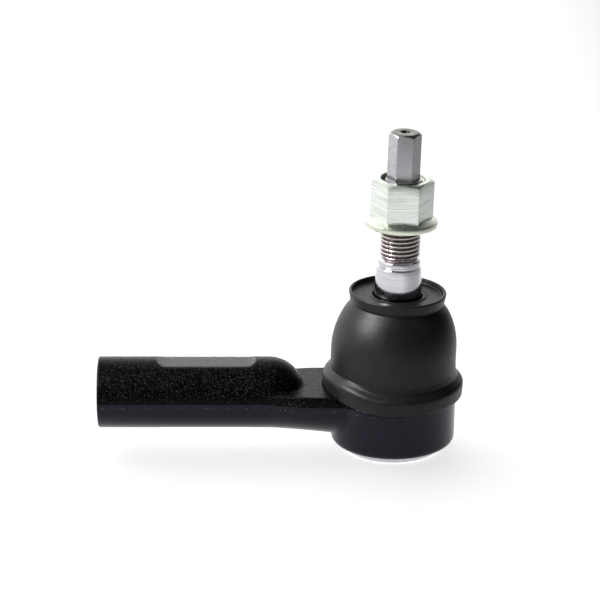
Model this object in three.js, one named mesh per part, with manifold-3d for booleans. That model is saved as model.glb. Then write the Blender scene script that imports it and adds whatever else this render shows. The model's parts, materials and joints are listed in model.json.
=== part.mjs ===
// Outer tie rod end: a ball joint on a forged shank. Millimetres, +Z up.
// Every piece is drawn about the centre of the ball: +Z is the socket's axis, towards the stud, and the
// shank runs along -X. The finished assembly is then moved so that its origin is the mouth of the shank's
// threaded bore, where the tie rod screws in.
import * as THREE from 'three';
import { mergeVertices } from 'three/addons/utils/BufferGeometryUtils.js';
import Module from 'manifold-3d';

const wasm = await Module();
wasm.setup();

// ---- Driving dimensions ----
const GAP = 0.3; // clearance between neighbouring pieces
const ROUND = 32; // facets round a turned piece
const STUD_LEAN = 2; // degrees that the stud leans towards +X at rest

const SHANK_RADIUS = 12.5;
const SHANK_END = -103.3; // X of the shank's end face
const SHANK_THREAD_RADIUS = 8.25; // minor radius of the M18 x 1.5 thread in the shank
const SHANK_THREAD_DEPTH = 55;
const NOSE_CENTRE = -43.5; // X where the shank's round nose starts
const FLAT_HEIGHT = 11.35; // wrench flats above and below the shank's axis
const FLAT_START = -79.6;
const FLAT_END = -51.2;
const NECK_TOP = 3.5;
const NECK_HALF_WIDTH = 15.6;

const SOCKET_RADIUS = 22;
const SOCKET_BOTTOM = -17.4;
const SOCKET_TOP = 11.5;
const SHOULDER = -0.2; // height of the turned shoulder under the boot's bead
const LAND_RADIUS = 19.5; // turned land that the boot's base ring is pressed on
const CAVITY_RADIUS = 16.5;
const CAVITY_TOP = 8.7;
const CAVITY_BOTTOM = -14.2;
const LIP_OPENING = 17.4; // radius inside the rolled lip
const PLATE_RADIUS = 18.4; // flange of the cover plate, held by the lip
const PLATE_SEAT = -16.2;

const BALL_RADIUS = 13.5;
const STUD_NECK_RADIUS = 6.9;
const COLLAR_RADIUS = 8.65;
const COLLAR_BOTTOM = 25;
const TAPER_BOTTOM = 36;
const TAPER_TOP = 46.6;
const TAPER_SLOPE = 1 / 16; // radius lost per millimetre of height, a 1:8 taper
const STUD_THREAD_RADIUS = 7; // M14 x 1.5
const THREAD_BOTTOM = 48.6;
const THREAD_TOP = 78.4;
const DRIVE_FLATS = 10; // across the flats of the hex drive
const STUD_TOP = 95.2;

const NUT_FLATS = 19;
const NUT_BOTTOM = 62;
const NUT_TOP = 78.8;
const FLANGE_RADIUS = 12.6;

const BEAD_RADIUS = 24.6;
const BOOT_RADIUS = 21.9;
const BOOT_WALL = 2;
const BOOT_WAIST_RADIUS = 15.75;
const BOOT_WAIST = 33.9;
const BOOT_FLOOR = 36.2; // recessed top face round the stud
const BOOT_TOP = 37.9;
const BOOT_LIP_RADIUS = 17;

// ---- Helpers ----
const radians = THREE.MathUtils.degToRad;

// Points on an arc in a turned profile's (radius, height) plane.
// Its angles are in degrees from the +radius direction.
function arc(centreR, centreZ, radius, from, to, steps) {
  const points = [];
  for (let i = 0; i <= steps; i++) {
    const angle = radians(from + ((to - from) * i) / steps);
    points.push([centreR + radius * Math.cos(angle), centreZ + radius * Math.sin(angle)]);
  }
  return points;
}

// A closed geometry as a manifold solid.
function solid(geometry) {
  const bare = geometry.index ? geometry.toNonIndexed() : geometry.clone();
  bare.deleteAttribute('normal');
  bare.deleteAttribute('uv');
  const merged = mergeVertices(bare, 1e-4);
  const triangles = [];
  for (let i = 0; i < merged.index.count; i += 3) {
    const corners = [0, 1, 2].map((k) => merged.index.getX(i + k));
    if (new Set(corners).size === 3) triangles.push(...corners);
  }
  return new wasm.Manifold(new wasm.Mesh({
    numProp: 3,
    vertProperties: new Float32Array(merged.attributes.position.array),
    triVerts: new Uint32Array(triangles),
  }));
}

// A piece turned about Z from an outline of [radius, height] points, listed anticlockwise.
// A hollow ring's outline closes on itself, and a solid one's starts and ends on the axis.
function turned(outline, facets = ROUND) {
  const points = outline.map(([r, z]) => new THREE.Vector2(r, z));
  const onAxis = points[0].x === 0 && points[points.length - 1].x === 0;
  if (!onAxis) points.push(points[0].clone());
  return new THREE.LatheGeometry(points, facets).rotateX(Math.PI / 2);
}

// A hexagonal prism about Z, with two of its flats facing +Y and -Y.
function hexPrism(flats, bottom, top) {
  const corner = flats / Math.sqrt(3);
  const prism = new THREE.CylinderGeometry(corner, corner, top - bottom, 6);
  return prism.rotateX(Math.PI / 2).rotateZ(Math.PI / 6).translate(0, 0, (top + bottom) / 2);
}

// A block between two opposite corners.
function block(low, high) {
  const [x, y, z] = high.map((value, i) => value - low[i]);
  return new THREE.BoxGeometry(x, y, z).translate(low[0] + x / 2, low[1] + y / 2, low[2] + z / 2);
}

function geometryOf(body) {
  const { vertProperties, triVerts } = body.getMesh();
  const geometry = new THREE.BufferGeometry();
  geometry.setAttribute('position', new THREE.BufferAttribute(vertProperties, 3));
  geometry.setIndex(new THREE.BufferAttribute(triVerts, 1));
  geometry.computeVertexNormals();
  return geometry;
}

function piece(name, body, color, roughness, metalness) {
  const material = new THREE.MeshStandardMaterial({ color, roughness, metalness, flatShading: true });
  const mesh = new THREE.Mesh(geometryOf(body), material);
  mesh.name = name;
  return mesh;
}

// ---- The forging: shank, neck and socket in one piece ----
function shank() {
  const edge = 0.8;
  const outline = [
    [0, SHANK_END],
    [SHANK_RADIUS - edge, SHANK_END],
    [SHANK_RADIUS, SHANK_END + edge],
    ...arc(0, NOSE_CENTRE, SHANK_RADIUS, 0, 80, 6),
    [0, NOSE_CENTRE + SHANK_RADIUS],
  ];
  return solid(turned(outline).rotateY(Math.PI / 2));
}

// The lower half of the shank's round section swells into the socket; the neck is flat on top of it.
function neck() {
  const start = NOSE_CENTRE - 4;
  const round = new THREE.CylinderGeometry(SHANK_RADIUS + 2.5, SHANK_RADIUS - 0.1, -12 - start, ROUND);
  round.rotateZ(-Math.PI / 2).translate((start - 12) / 2, 0, 0);
  const above = block([start - 1, -30, NECK_TOP], [0, 30, 30]);
  return solid(round).subtract(solid(above)).add(flare());
}

// Seen from above, the neck widens from the nose and meets the socket on a fillet.
function flare() {
  const fillet = 4;
  const growth = [[4, 0.5], [9, 0.82], [15, 0.98]]; // millimetres from NOSE_CENTRE, share of the widening
  const offset = NECK_HALF_WIDTH + fillet;
  const reach = Math.sqrt((SOCKET_RADIUS + fillet) ** 2 - offset ** 2);
  const touch = Math.atan2(offset, reach);
  const plan = new THREE.Shape();
  plan.moveTo(0, SHANK_RADIUS - 2);
  plan.lineTo(-SOCKET_RADIUS * Math.cos(touch), SOCKET_RADIUS * Math.sin(touch));
  plan.absarc(-reach, offset, fillet, -touch, -Math.PI / 2, true);
  const narrow = SHANK_RADIUS - 0.3;
  const widening = NECK_HALF_WIDTH - narrow;
  const side = growth.map(([away, share]) => [NOSE_CENTRE + away, narrow + share * widening]);
  for (const [x, width] of side.toReversed()) plan.lineTo(x, width);
  plan.lineTo(NOSE_CENTRE, narrow);
  plan.lineTo(NOSE_CENTRE, -narrow);
  for (const [x, width] of side) plan.lineTo(x, -width);
  plan.absarc(-reach, -offset, fillet, Math.PI / 2, touch, true);
  plan.lineTo(0, -SHANK_RADIUS + 2);
  const edge = 1.2;
  const depth = 8;
  const slab = new THREE.ExtrudeGeometry(plan, {
    depth: depth - 2 * edge,
    bevelThickness: edge,
    bevelSize: edge,
    bevelOffset: -edge,
    bevelSegments: 2,
    curveSegments: 6,
  });
  return solid(slab.translate(0, 0, NECK_TOP - depth + edge));
}

function socketOutside() {
  const edge = 2.4;
  return solid(turned([
    [0, SOCKET_BOTTOM],
    ...arc(SOCKET_RADIUS - 0.3 - edge, SOCKET_BOTTOM + edge, edge, -90, 0, 4),
    [SOCKET_RADIUS, SHOULDER],
    [LAND_RADIUS, SHOULDER],
    [LAND_RADIUS, SOCKET_TOP - 0.8],
    [LAND_RADIUS - 0.8, SOCKET_TOP],
    [0, SOCKET_TOP],
  ]));
}

// Room for the bearings, with a shoulder above them, a seat for the cover plate and a rolled lip below it.
function socketCavity() {
  return solid(turned([
    [0, SOCKET_BOTTOM - 1],
    [LIP_OPENING, SOCKET_BOTTOM - 1],
    [LIP_OPENING, PLATE_SEAT],
    [PLATE_RADIUS + GAP, PLATE_SEAT],
    [PLATE_RADIUS + GAP, CAVITY_BOTTOM],
    [CAVITY_RADIUS, CAVITY_BOTTOM],
    [CAVITY_RADIUS, CAVITY_TOP],
    [12.9, CAVITY_TOP],
    [14.8, SOCKET_TOP + 1],
    [0, SOCKET_TOP + 1],
  ]));
}

// The shoulder is turned right round, so it also cuts a step into the neck where the bead passes over it.
function beadClearance() {
  const outside = BEAD_RADIUS + 0.4;
  return solid(turned([
    [LAND_RADIUS, SHOULDER],
    [outside, SHOULDER],
    [outside, SOCKET_TOP],
    [LAND_RADIUS, SOCKET_TOP],
  ]));
}

// The milled wrench flat on top of the shank, which runs out in an arc at each end.
function flatCutter() {
  const runOut = 3.2;
  const depth = SHANK_RADIUS - FLAT_HEIGHT;
  const radius = (runOut ** 2 + depth ** 2) / (2 * depth);
  const sweep = Math.asin(runOut / radius);
  const side = new THREE.Shape();
  side.moveTo(FLAT_START - runOut, SHANK_RADIUS);
  side.absarc(FLAT_START, FLAT_HEIGHT + radius, radius, -Math.PI / 2 - sweep, -Math.PI / 2, false);
  side.absarc(FLAT_END, FLAT_HEIGHT + radius, radius, -Math.PI / 2, -Math.PI / 2 + sweep, false);
  side.lineTo(FLAT_END + runOut, SHANK_RADIUS + 3);
  side.lineTo(FLAT_START - runOut, SHANK_RADIUS + 3);
  const width = 2 * SHANK_RADIUS;
  const cutter = new THREE.ExtrudeGeometry(side, { depth: width, bevelEnabled: false, curveSegments: 4 });
  return cutter.translate(0, 0, -width / 2).rotateX(Math.PI / 2);
}

function shankBore() {
  const chamfer = 1.2;
  const drillPoint = 4;
  const outline = [
    [0, SHANK_END - 1],
    [SHANK_THREAD_RADIUS + chamfer + 1, SHANK_END - 1],
    [SHANK_THREAD_RADIUS, SHANK_END + chamfer],
    [SHANK_THREAD_RADIUS, SHANK_END + SHANK_THREAD_DEPTH],
    [0, SHANK_END + SHANK_THREAD_DEPTH + drillPoint],
  ];
  return solid(turned(outline, 24).rotateY(Math.PI / 2));
}

function socketForging() {
  const upperFlat = solid(flatCutter());
  const lowerFlat = solid(flatCutter().rotateX(Math.PI));
  const body = shank()
    .add(neck())
    .add(socketOutside())
    .subtract(socketCavity())
    .subtract(beadClearance())
    .subtract(upperFlat)
    .subtract(lowerFlat)
    .subtract(shankBore());
  return piece('socket_forging', body, 0x0e0f11, 0.35, 0.3);
}

// ---- Inside the socket ----
const BEARING_RADIUS = BALL_RADIUS + GAP; // the bearings' spherical seats
const BEARING_OUTSIDE = CAVITY_RADIUS - GAP;

// Height in degrees above the equator at which the bearing's seat has a given height.
const seatAngle = (z) => THREE.MathUtils.radToDeg(Math.asin(z / BEARING_RADIUS));

function upperBearing() {
  const top = CAVITY_TOP - GAP;
  const body = solid(turned([
    [BEARING_OUTSIDE, 0.3],
    [BEARING_OUTSIDE, top],
    [12.4, top],
    ...arc(0, 0, BEARING_RADIUS, seatAngle(7.5), seatAngle(0.3), 5),
  ]));
  return piece('upper_bearing', body, 0xd8d2bd, 0.5, 0);
}

function lowerBearing() {
  const bottom = -13.2;
  const lowest = -11.9;
  const body = solid(turned([
    [7, bottom],
    [BEARING_OUTSIDE, bottom],
    [BEARING_OUTSIDE, -0.5],
    ...arc(0, 0, BEARING_RADIUS, seatAngle(-0.5), seatAngle(lowest), 6),
  ]));
  return piece('lower_bearing', body, 0xd8d2bd, 0.5, 0);
}

function thrustWasher() {
  const body = solid(turned([[7, -14.7], [15, -14.7], [15, -13.5], [7, -13.5]], 32));
  return piece('thrust_washer', body, 0x8f9296, 0.4, 1);
}

// A conical washer: its wide end rests on the cover plate, its narrow end pushes the thrust washer up.
function discSpring() {
  const body = solid(turned([[6.5, -16.2], [13, -18.1], [13, -16.9], [6.5, -15]], 32));
  return piece('disc_spring', body, 0x55585c, 0.45, 1);
}

// A flanged plate whose middle stands out below the rolled lip.
function coverPlate() {
  const boss = LIP_OPENING - 0.4;
  const bottom = -20.2;
  const inside = -18.4;
  const body = solid(turned([
    [0, bottom],
    ...arc(boss - 0.9, bottom + 0.9, 0.9, -90, 0, 3),
    [boss, PLATE_SEAT + GAP],
    [PLATE_RADIUS, PLATE_SEAT + GAP],
    [PLATE_RADIUS, CAVITY_BOTTOM - GAP],
    [15.3, CAVITY_BOTTOM - GAP],
    [15.3, -15],
    [13.4, -15],
    [13.4, inside],
    [0, inside],
  ]));
  return piece('cover_plate', body, 0xb9bcc0, 0.35, 1);
}

// ---- The stud and its nut, in the stud's own leaning frame ----
function ballStud() {
  const ballBottom = -12.8;
  const angleAt = (z) => THREE.MathUtils.radToDeg(Math.asin(z / BALL_RADIUS));
  const neckMeets = Math.sqrt(BALL_RADIUS ** 2 - STUD_NECK_RADIUS ** 2);
  const taperRadius = COLLAR_RADIUS - 0.25;
  const taperTopRadius = taperRadius - TAPER_SLOPE * (TAPER_TOP - TAPER_BOTTOM);
  const threadCore = STUD_THREAD_RADIUS - 0.15;
  const turnedPart = solid(turned([
    [0, ballBottom],
    ...arc(0, 0, BALL_RADIUS, angleAt(ballBottom), angleAt(neckMeets), 14),
    [STUD_NECK_RADIUS, 19],
    [COLLAR_RADIUS, COLLAR_BOTTOM],
    [COLLAR_RADIUS, TAPER_BOTTOM - 0.2],
    [taperRadius, TAPER_BOTTOM],
    [taperTopRadius, TAPER_TOP],
    [taperTopRadius - 0.4, THREAD_BOTTOM],
    [threadCore, THREAD_BOTTOM + 0.2],
    [threadCore, THREAD_TOP - 0.9],
    [threadCore - 0.9, THREAD_TOP],
    [0, THREAD_TOP],
  ]));
  const body = turnedPart.add(hexDrive()).subtract(centreDrill());
  return piece('ball_stud', body, 0xc9cacc, 0.25, 1);
}

function hexDrive() {
  const corner = DRIVE_FLATS / Math.sqrt(3);
  const chamfer = 1.1;
  const envelope = turned([
    [0, THREAD_TOP - 1],
    [corner + 0.1, THREAD_TOP - 1],
    [corner + 0.1, STUD_TOP - chamfer],
    [corner - 1.4, STUD_TOP],
    [0, STUD_TOP],
  ]);
  return solid(hexPrism(DRIVE_FLATS, THREAD_TOP - 1, STUD_TOP)).intersect(solid(envelope));
}

function centreDrill() {
  return solid(turned([
    [0, STUD_TOP - 4],
    [0.9, STUD_TOP - 3.6],
    [0.9, STUD_TOP - 1.8],
    [1.7, STUD_TOP + 0.4],
    [0, STUD_TOP + 0.4],
  ], 16));
}

function flangeNut() {
  const bore = STUD_THREAD_RADIUS + 0.2;
  const corner = NUT_FLATS / Math.sqrt(3);
  const hex = solid(hexPrism(NUT_FLATS, NUT_BOTTOM + 1, NUT_TOP));
  const topChamfer = solid(turned([
    [0, NUT_BOTTOM],
    [corner + 1, NUT_BOTTOM],
    [corner + 1, NUT_TOP - 0.58 * (corner + 1.3 - NUT_FLATS / 2)],
    [NUT_FLATS / 2 - 0.3, NUT_TOP],
    [0, NUT_TOP],
  ]));
  const flange = solid(turned([
    [0, NUT_BOTTOM],
    [FLANGE_RADIUS - 0.4, NUT_BOTTOM],
    [FLANGE_RADIUS, NUT_BOTTOM + 0.4],
    [FLANGE_RADIUS, NUT_BOTTOM + 1.9],
    [NUT_FLATS / 2, NUT_BOTTOM + 3.4],
    [0, NUT_BOTTOM + 3.4],
  ]));
  const hole = solid(turned([
    [0, NUT_BOTTOM - 1],
    [bore + 1.6, NUT_BOTTOM - 1],
    [bore, NUT_BOTTOM + 0.6],
    [bore, NUT_TOP - 0.6],
    [bore + 1.6, NUT_TOP + 1],
    [0, NUT_TOP + 1],
  ]));
  const body = hex.intersect(topChamfer).add(flange).subtract(hole);
  return piece('flange_nut', body, 0xc4cabd, 0.35, 1);
}

// ---- The boot and its two rings ----
const BEND_START = 10; // the boot stands square to the socket below this height
const BEND_END = 31; // and square to the leaning stud above this one
const BEAD_INSIDE = 21.3;
const RING_POCKET = { inner: 10.8, outer: 14.2, top: 34.8 };

// Turns each point about the ball's centre by the share of the stud's lean that its height takes.
function bendToStud(geometry) {
  const position = geometry.attributes.position;
  const point = new THREE.Vector3();
  const axis = new THREE.Vector3(0, 1, 0);
  for (let i = 0; i < position.count; i++) {
    point.fromBufferAttribute(position, i);
    const share = THREE.MathUtils.smoothstep(point.z, BEND_START, BEND_END);
    point.applyAxisAngle(axis, radians(STUD_LEAN) * share);
    position.setXYZ(i, point.x, point.y, point.z);
  }
  return geometry;
}

// Radius of the domed body's wall at a height; the dome is a quarter of an ellipse that the lip cuts short.
function domeRadius(z, inset) {
  const start = 17;
  const height = 24.5;
  const share = Math.max(0, (z - start) / (height - inset));
  return (BOOT_RADIUS - inset) * Math.sqrt(1 - share ** 2);
}

function dustBoot() {
  const domeHeights = [13, 17, 20, 23, 26, 29, 31.5];
  const outside = domeHeights.map((z) => [domeRadius(z, 0), z]);
  const inside = domeHeights.slice(0, -1).map((z) => [domeRadius(z, BOOT_WALL), z]).reverse();
  const underside = 33;
  const body = solid(bendToStud(turned([
    [BEAD_INSIDE, 0.2],
    [BEAD_RADIUS - 0.9, 0.1],
    [BEAD_RADIUS - 0.2, 0.8],
    ...arc(BEAD_RADIUS - 3, 3.6, 3, 0, 50, 3),
    [BOOT_RADIUS + 0.7, 7],
    [BOOT_RADIUS + 0.1, 9],
    ...outside,
    [BOOT_WAIST_RADIUS, BOOT_WAIST],
    [BOOT_LIP_RADIUS - 0.6, BOOT_WAIST + 0.4],
    [BOOT_LIP_RADIUS, BOOT_TOP],
    [BOOT_LIP_RADIUS - 1.1, BOOT_TOP],
    [BOOT_LIP_RADIUS - 1.5, BOOT_FLOOR],
    [COLLAR_RADIUS + GAP, BOOT_FLOOR],
    [COLLAR_RADIUS + GAP, underside],
    [RING_POCKET.inner, underside],
    [RING_POCKET.inner, RING_POCKET.top],
    [RING_POCKET.outer, RING_POCKET.top],
    [RING_POCKET.outer, underside - 2.5],
    ...inside,
    [BOOT_RADIUS - BOOT_WALL, 8.8],
    [BEAD_INSIDE, 8.8],
  ])));
  return piece('dust_boot', body, 0x2b2c2b, 0.6, 0);
}

function bootBaseRing() {
  const body = solid(turned([
    [LAND_RADIUS + GAP, 0.4],
    [BEAD_INSIDE - GAP, 0.4],
    [BEAD_INSIDE - GAP, 8.4],
    [LAND_RADIUS + GAP, 8.4],
  ]));
  return piece('boot_base_ring', body, 0x6d7075, 0.4, 1);
}

function bootNeckRing() {
  const { inner, outer, top } = RING_POCKET;
  const body = solid(turned([
    [inner + GAP, top - 1.7],
    [outer - GAP, top - 1.7],
    [outer - GAP, top - GAP],
    [inner + GAP, top - GAP],
  ], 32));
  return piece('boot_neck_ring', body, 0x6d7075, 0.4, 1);
}

// ---- The assembly ----
const tieRodEnd = new THREE.Group();
tieRodEnd.add(
  socketForging(),
  upperBearing(),
  lowerBearing(),
  thrustWasher(),
  discSpring(),
  coverPlate(),
  dustBoot(),
  bootBaseRing(),
);

const studGroup = new THREE.Group();
studGroup.rotation.y = radians(STUD_LEAN);
studGroup.add(ballStud(), flangeNut(), bootNeckRing());
tieRodEnd.add(studGroup);
tieRodEnd.position.x = -SHANK_END;

export default tieRodEnd;
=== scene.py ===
"""Looks of an outer tie rod end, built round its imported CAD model. Every Blender object is in metres.

Shapes are worked out in millimetres about the centre of the ball: +Z is the socket's axis and the shank
runs along -X. place() then carries them into the row frame, leaning what belongs to the stud.
"""

import json
import math

import bmesh
import bpy
import numpy as np
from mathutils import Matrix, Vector, noise


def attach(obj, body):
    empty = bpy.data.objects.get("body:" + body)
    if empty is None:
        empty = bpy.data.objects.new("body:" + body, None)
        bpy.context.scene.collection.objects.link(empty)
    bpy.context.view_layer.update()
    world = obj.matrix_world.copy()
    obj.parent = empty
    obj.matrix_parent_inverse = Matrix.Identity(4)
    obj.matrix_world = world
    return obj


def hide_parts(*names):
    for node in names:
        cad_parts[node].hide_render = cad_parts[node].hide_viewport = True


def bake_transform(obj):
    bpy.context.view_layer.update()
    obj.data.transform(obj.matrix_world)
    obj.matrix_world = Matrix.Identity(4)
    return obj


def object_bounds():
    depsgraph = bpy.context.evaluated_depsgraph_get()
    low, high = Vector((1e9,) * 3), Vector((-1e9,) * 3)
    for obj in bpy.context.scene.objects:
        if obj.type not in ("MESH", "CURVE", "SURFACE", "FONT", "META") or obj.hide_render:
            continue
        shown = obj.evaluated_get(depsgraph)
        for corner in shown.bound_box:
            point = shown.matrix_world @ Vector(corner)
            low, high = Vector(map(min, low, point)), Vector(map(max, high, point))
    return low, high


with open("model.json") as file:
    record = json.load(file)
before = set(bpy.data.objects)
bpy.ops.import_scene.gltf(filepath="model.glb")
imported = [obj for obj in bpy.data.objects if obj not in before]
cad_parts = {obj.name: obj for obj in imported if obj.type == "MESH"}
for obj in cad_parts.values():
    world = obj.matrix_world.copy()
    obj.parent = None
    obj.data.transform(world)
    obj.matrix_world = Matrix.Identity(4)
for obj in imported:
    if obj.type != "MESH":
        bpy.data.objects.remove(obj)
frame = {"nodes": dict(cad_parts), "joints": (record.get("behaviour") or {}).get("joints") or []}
cad_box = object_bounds()

# ---- Places and sizes taken from the frame ----
MM = 0.001
JOINTS = {joint["name"]: joint for joint in frame["joints"]}
BALL = np.array(JOINTS["stud_swing"]["pos_m"]) / MM
STUD_AXIS = JOINTS["stud_spin"]["axis"]
LEAN = math.atan2(STUD_AXIS[0], STUD_AXIS[2])


def own_box(node, leaning=False):
    """Lowest and highest corner of a CAD node about the ball, in mm, upright even if the stud leans."""
    mesh = frame["nodes"][node].data
    points = np.array([v.co for v in mesh.vertices]) / MM - BALL
    if leaning:
        points = lean(points, -LEAN)
    return points.min(axis=0), points.max(axis=0)


def lean(points, angle):
    """Points turned about the ball's Y axis, towards +X."""
    x, y, z = points[..., 0], points[..., 1], points[..., 2]
    cos, sin = np.cos(angle), np.sin(angle)
    return np.stack([x * cos + z * sin, y, z * cos - x * sin], axis=-1)


forging_low, forging_high = own_box("socket_forging")
SHANK_END = forging_low[0]
SHANK_RADIUS = forging_high[2]
SOCKET_RADIUS = forging_high[1]
SOCKET_BOTTOM = forging_low[2]

plate_low, plate_high = own_box("cover_plate")
PLATE_BOTTOM = plate_low[2]
PLATE_TOP = plate_high[2]
PLATE_RADIUS = plate_high[1]

boot_low, boot_high = own_box("dust_boot")
BEAD_RADIUS = boot_high[1]
BOOT_BOTTOM = boot_low[2]
BOOT_TOP = own_box("dust_boot", leaning=True)[1][2]

stud_low, stud_high = own_box("ball_stud", leaning=True)
BALL_RADIUS = stud_high[1]
BALL_FLAT = stud_low[2]
STUD_TOP = stud_high[2]

nut_low, nut_high = own_box("flange_nut", leaning=True)
NUT_BOTTOM = nut_low[2]
NUT_TOP = nut_high[2]
FLANGE_RADIUS = nut_high[1]

# ---- Sizes inside those boxes, in mm ----
NOSE_CENTRE = -43.5
FLAT_HEIGHT = 11.35
FLAT_START = -79.6
FLAT_END = -51.2
NECK_TOP = 3.5
FLASH_HEIGHT = -1.5
NECK_HALF_WIDTH = 15.6
SHOULDER = -0.2
LAND_RADIUS = 19.5
SOCKET_TOP = 11.5
ROOM_BOTTOM = -15
ROOM_TOP = 8.7
SHANK_THREAD_DEPTH = 55
SHANK_THREAD_RADIUS = 9
GRIT_START = -17

COLLAR_RADIUS = 8.65
TAPER_BOTTOM = 36
TAPER_TOP = 46.6
TAPER_SLOPE = 1 / 16
THREAD_BOTTOM = 50.4
THREAD_TOP = 78.4
THREAD_RADIUS = 7
PITCH = 1.5
THREAD_DEPTH = 0.613 * PITCH
DRIVE_FLATS = 10
DRILL_RADIUS = 1.75
NUT_FLATS = 19

BOOT_RADIUS = 21.9
BOOT_WALL = 2
BOOT_FLOOR = 36.2
DOME_START = 17
DOME_RISE = 24.5
BEND_START = 10
BEND_END = 31


# ---- Turned shapes: stacks of rings ----
def corner_rounded(outline, steps=5):
    """An outline of (radius, height) points, rounded at those that give a fillet as a third number."""
    smooth = []
    last = len(outline) - 1
    for i, point in enumerate(outline):
        here = np.array(point[:2], float)
        fillet = point[2] if len(point) > 2 else 0
        if fillet == 0:
            smooth.append(here)
            continue
        before = np.array(outline[i - 1][:2]) - here
        after = np.array(outline[0 if i == last else i + 1][:2]) - here
        reach_before, reach_after = np.linalg.norm(before), np.linalg.norm(after)
        before, after = before / reach_before, after / reach_after
        half = math.acos(np.clip(before @ after, -1, 1)) / 2
        cut = min(fillet / math.tan(half), 0.49 * reach_before, 0.49 * reach_after)
        radius = cut * math.tan(half)
        middle = (before + after) / np.linalg.norm(before + after)
        centre = here + middle * radius / math.sin(half)
        start, end = here + before * cut - centre, here + after * cut - centre
        swing = math.acos(np.clip(start @ end / radius**2, -1, 1))
        for k in range(steps + 1):
            t = k / steps
            share = (math.sin((1 - t) * swing) * start + math.sin(t * swing) * end) / math.sin(swing)
            smooth.append(centre + share)
    return np.array(smooth)


def subdivided(outline, longest, closed):
    """The outline with its long edges cut into pieces no longer than this."""
    ends = np.roll(outline, -1, axis=0) if closed else outline[1:]
    points = []
    for start, end in zip(outline, ends):
        pieces = max(1, math.ceil(np.linalg.norm(end - start) / longest))
        points.extend(start + (end - start) * k / pieces for k in range(pieces))
    if not closed:
        points.append(outline[-1])
    return np.array(points)


def even_columns(count):
    return np.arange(count) * 2 * math.pi / count


def rings_from(radii, heights, angles):
    """Points (ring, column, xyz); radii and heights are one number a ring, or one a ring and column."""
    shape = (len(radii), len(angles))
    radii = np.broadcast_to(radii if np.ndim(radii) == 2 else np.reshape(radii, (-1, 1)), shape)
    heights = np.broadcast_to(heights if np.ndim(heights) == 2 else np.reshape(heights, (-1, 1)), shape)
    return np.stack([radii * np.cos(angles), radii * np.sin(angles), heights], axis=-1)


def ring_faces(rings, columns, closed):
    """Quads between neighbouring rings, facing out where an outline runs up the outside."""
    index = np.arange(rings * columns).reshape(rings, columns)
    if closed:
        index = np.vstack([index, index[:1]])
    below, above = index[:-1], index[1:]
    corners = [below, np.roll(below, -1, axis=1), np.roll(above, -1, axis=1), above]
    return np.stack(corners, axis=-1).reshape(-1, 4)


def place(points, leaning=False):
    """Points about the ball in mm, in the row frame in metres."""
    if leaning:
        points = lean(points, LEAN)
    return (points + BALL) * MM


def make_piece(name, points, faces, materials, sharp=40):
    """A mesh object without doubled points, smooth but for edges sharper than this many degrees."""
    mesh = bpy.data.meshes.new(name)
    mesh.from_pydata(points.tolist(), [], faces.tolist())
    body = bmesh.new()
    body.from_mesh(mesh)
    bmesh.ops.remove_doubles(body, verts=body.verts, dist=1e-7)
    bmesh.ops.dissolve_degenerate(body, edges=body.edges, dist=1e-7)
    body.to_mesh(mesh)
    body.free()
    mesh.shade_smooth()
    mesh.set_sharp_from_angle(angle=math.radians(sharp))
    for material in materials:
        mesh.materials.append(material)
    piece = bpy.data.objects.new(name, mesh)
    bpy.context.scene.collection.objects.link(piece)
    return piece


def turned(name, outline, material, columns=128, closed=False, longest=1.5, leaning=False, bend=None):
    """A piece turned about Z from an outline, which closes on itself or starts and ends on the axis."""
    smooth = subdivided(corner_rounded(outline), longest, closed)
    points = rings_from(smooth[:, 0], smooth[:, 1], even_columns(columns))
    faces = ring_faces(len(smooth), columns, closed)
    if bend:
        points = bend(points)
    return make_piece(name, place(points.reshape(-1, 3), leaning), faces, [material])


def arc(centre, radius, start, end, steps):
    """Points (radius, height) of an arc, its angles in degrees from the direction of growing radius."""
    angles = np.radians(np.linspace(start, end, steps + 1))
    return [(centre[0] + radius * math.cos(a), centre[1] + radius * math.sin(a)) for a in angles]


# ---- Distance fields, for the forging ----
def round_union(a, b, fillet):
    corner = np.hypot(np.maximum(fillet - a, 0), np.maximum(fillet - b, 0))
    return np.maximum(fillet, np.minimum(a, b)) - corner


def round_both(a, b, fillet):
    """What is inside both, with the edge between them rounded."""
    corner = np.hypot(np.maximum(fillet + a, 0), np.maximum(fillet + b, 0))
    return np.minimum(-fillet, np.maximum(a, b)) + corner


def flat_height(x):
    """Height of the wrench flats over the shank's axis; they run out in an arc at each end."""
    run_out = 3.2
    depth = SHANK_RADIUS - FLAT_HEIGHT
    radius = (run_out**2 + depth**2) / (2 * depth)
    beyond = np.maximum(np.maximum(FLAT_START - x, x - FLAT_END), 0)
    rise = radius - np.sqrt(np.maximum(radius**2 - beyond**2, 0))
    return FLAT_HEIGHT + np.where(beyond < run_out + 0.8, rise, depth + 1)


def shank_field(x, y, z):
    """A round bar that ends in a ball-shaped nose over the neck, with two wrench flats."""
    bar = np.sqrt(np.maximum(x - NOSE_CENTRE, 0) ** 2 + y**2 + z**2) - SHANK_RADIUS
    bar = round_both(bar, SHANK_END - x, 0.7)
    return round_both(bar, np.abs(z) - flat_height(x), 0.45)


def foot_lift(x):
    """How far the boot's foot, and the shoulder under it, are raised where they ride up on the neck."""
    most, start, length = 1.8, 3, 17
    share = np.clip((-x - start) / length, 0, 1)
    return most * share * share * (3 - 2 * share)


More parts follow.
